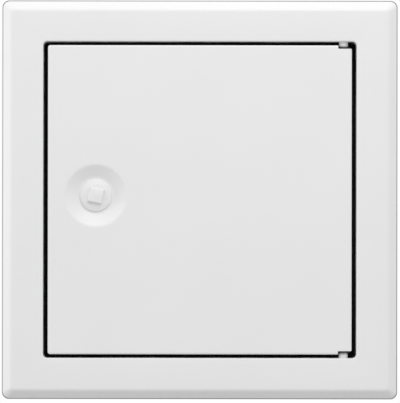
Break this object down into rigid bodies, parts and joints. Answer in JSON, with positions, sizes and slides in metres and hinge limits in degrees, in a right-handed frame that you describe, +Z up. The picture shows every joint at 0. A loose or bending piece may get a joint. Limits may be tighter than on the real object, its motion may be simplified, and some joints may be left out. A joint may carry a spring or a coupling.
{
  "type": "access panel",
  "caption": "Flush square steel access panel: bevelled surround with a wall sleeve, a pin-hinged door in a sealed stop, and a square-key cam lock in a pressed dimple.",
  "frame": {"origin": "centre of the clear opening, on the wall plane that the rim's edge seats on", "axes": "+X to the hinge side, +Z up as in the picture, +Y into the wall, so the door's face looks along -Y"},
  "size_m": [0.19, 0.0411, 0.1916],
  "materials": {
    "powder_coat": "white powder coat, satin",
    "galvanised": "hot-dip galvanised sheet",
    "zinc_plated": "bright zinc plating",
    "spring_steel": "blackened spring steel",
    "foam_rubber": "closed-cell foam",
    "nylon": "black nylon"
  },
  "bodies": {
    "frame": {"surround": "powder_coat", "wall_sleeve": "galvanised", "door_gasket": "foam_rubber", "wall_anchor_top_left": "galvanised", "wall_anchor_top_right": "galvanised", "wall_anchor_bottom_left": "galvanised", "wall_anchor_bottom_right": "galvanised", "anchor_rivets": "zinc_plated", "hinge_bracket_top": "galvanised", "hinge_bracket_bottom": "galvanised", "hinge_pin_top": "powder_coat", "hinge_pin_bottom": "powder_coat"},
    "door": {"door_panel": "powder_coat", "hinge_ear_top": "zinc_plated", "hinge_ear_bottom": "zinc_plated", "hinge_washer_top": "nylon", "hinge_washer_bottom": "nylon", "lock_bush": "powder_coat", "lock_ring_nut": "zinc_plated"},
    "lock": {"lock_spindle": "powder_coat", "lock_cam": "zinc_plated", "lock_washer": "zinc_plated", "lock_spring_washer": "spring_steel", "lock_nut": "zinc_plated"}
  },
  "joints": [
    {"name": "door_hinge", "type": "hinge", "parent": "frame", "child": "door", "pos_m": [0.0688, -0.0007, 0], "axis": [0, 0, 1], "range_deg": [0, 100]},
    {"name": "lock_turn", "type": "hinge", "parent": "door", "child": "lock", "pos_m": [-0.0498, 0, 0.002], "axis": [0, -1, 0], "range_deg": [0, 102]}
  ]
}
